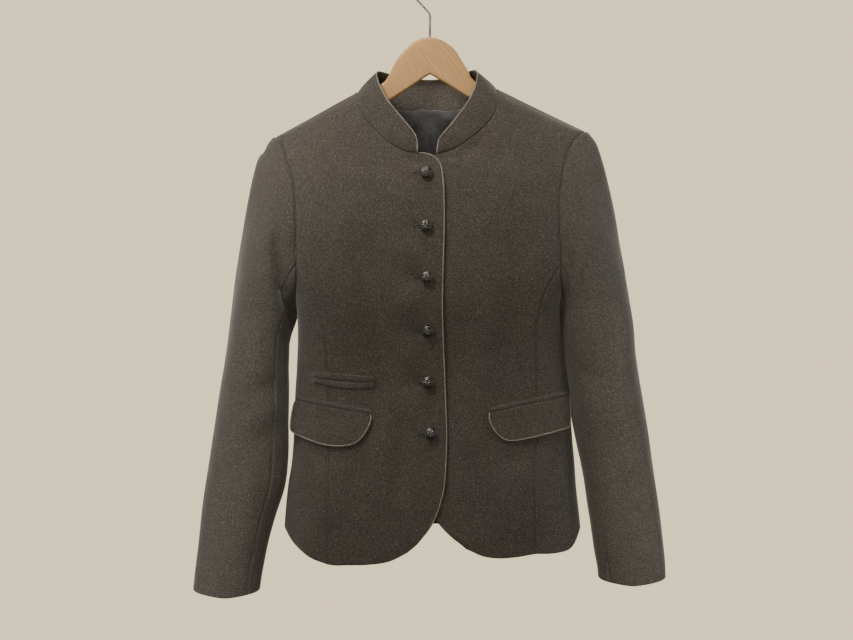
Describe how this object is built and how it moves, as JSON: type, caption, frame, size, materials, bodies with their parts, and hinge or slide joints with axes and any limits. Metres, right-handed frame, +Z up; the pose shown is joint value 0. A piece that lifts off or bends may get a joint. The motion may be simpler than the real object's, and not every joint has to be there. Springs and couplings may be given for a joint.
{
  "type": "trachten jacket on a hanger",
  "caption": "Tailored trachten jacket in brown grey wool with stand collar, piped edges, domed buttons and slanted flap pockets, on a flat wooden hanger with a wire hook.",
  "frame": {"origin": "The inside top of the hanger's hook, where a rail or peg carries it.", "axes": "+Z up, -Y out of the jacket's front, +X to the wearer's left."},
  "size_m": [0.625, 0.1374, 0.8288],
  "materials": {
    "loden": "fulled wool twill, brown grey melange, matte",
    "piping": "light taupe cord piping, matte",
    "lining": "dark satin lining, soft sheen",
    "button": "dark antique metal, domed, with a plain traditional relief",
    "wood": "light beech, clear matt lacquer",
    "wire": "bare steel wire, satin"
  },
  "bodies": {
    "root": {"right_front": "loden", "right_side": "loden", "right_back": "loden", "right_upper_sleeve": "loden", "right_under_sleeve": "loden", "right_flap": "loden", "right_flap_piping": "piping", "right_flap_jet": "loden", "right_back_lining": "lining", "left_front": "loden", "left_side": "loden", "left_back": "loden", "left_upper_sleeve": "loden", "left_under_sleeve": "loden", "left_flap": "loden", "left_flap_piping": "piping", "left_flap_jet": "loden", "left_back_lining": "lining", "collar": "loden", "collar_piping": "piping", "front_piping": "piping", "ticket_upper_welt": "loden", "ticket_lower_welt": "loden", "button_1": "button", "button_2": "button", "button_3": "button", "button_4": "button", "button_5": "button", "button_6": "button", "hanger": "wood", "hook": "wire"}
  },
  "joints": []
}
